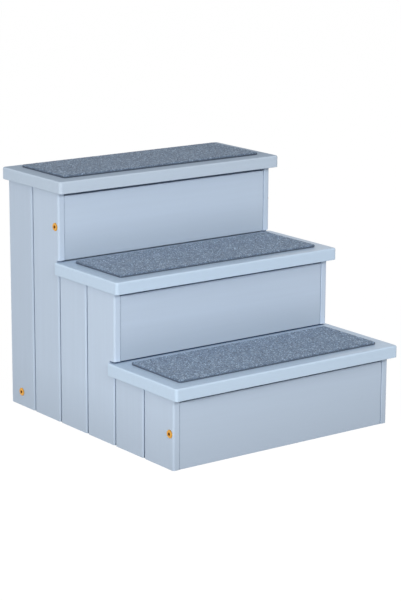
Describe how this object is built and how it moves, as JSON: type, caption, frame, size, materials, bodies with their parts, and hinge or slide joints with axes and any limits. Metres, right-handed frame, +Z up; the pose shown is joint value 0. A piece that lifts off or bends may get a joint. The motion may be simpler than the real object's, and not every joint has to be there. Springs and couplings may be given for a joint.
{
  "type": "pet stairs",
  "caption": "Free-standing wooden pet stairs with grooved side panels, overhanging carpeted treads and an open back.",
  "frame": {"origin": "on the floor, under the middle of the whole stair's box", "axes": "+Z up, X along the treads from the left side panel to the right one, +Y the way the steps climb, so the front is at -Y"},
  "size_m": [0.464, 0.5134, 0.424],
  "materials": {
    "panel_paint": "satin blue-grey paint",
    "tread_paint": "satin blue-grey paint over open grain",
    "carpet": "low cut pile, heathered grey-blue",
    "brass": "polished",
    "zinc_steel": "zinc plated",
    "bare_wood": "unfinished"
  },
  "bodies": {
    "root": {"left_side_panel": "panel_paint", "right_side_panel": "panel_paint", "bottom_riser": "panel_paint", "middle_riser": "panel_paint", "top_riser": "panel_paint", "bottom_tread": "tread_paint", "middle_tread": "tread_paint", "top_tread": "tread_paint", "bottom_carpet": "carpet", "middle_carpet": "carpet", "top_carpet": "carpet", "left_bottom_cleat": "panel_paint", "left_middle_cleat": "panel_paint", "left_top_cleat": "panel_paint", "right_bottom_cleat": "panel_paint", "right_middle_cleat": "panel_paint", "right_top_cleat": "panel_paint", "bottom_riser_cleat": "panel_paint", "middle_riser_cleat": "panel_paint", "top_riser_cleat": "panel_paint", "rear_rail": "panel_paint", "left_side_screws": "brass", "right_side_screws": "brass", "cleat_panel_screws": "zinc_steel", "cleat_tread_screws": "zinc_steel", "cleat_riser_screws": "zinc_steel", "riser_dowels": "bare_wood"}
  },
  "joints": []
}
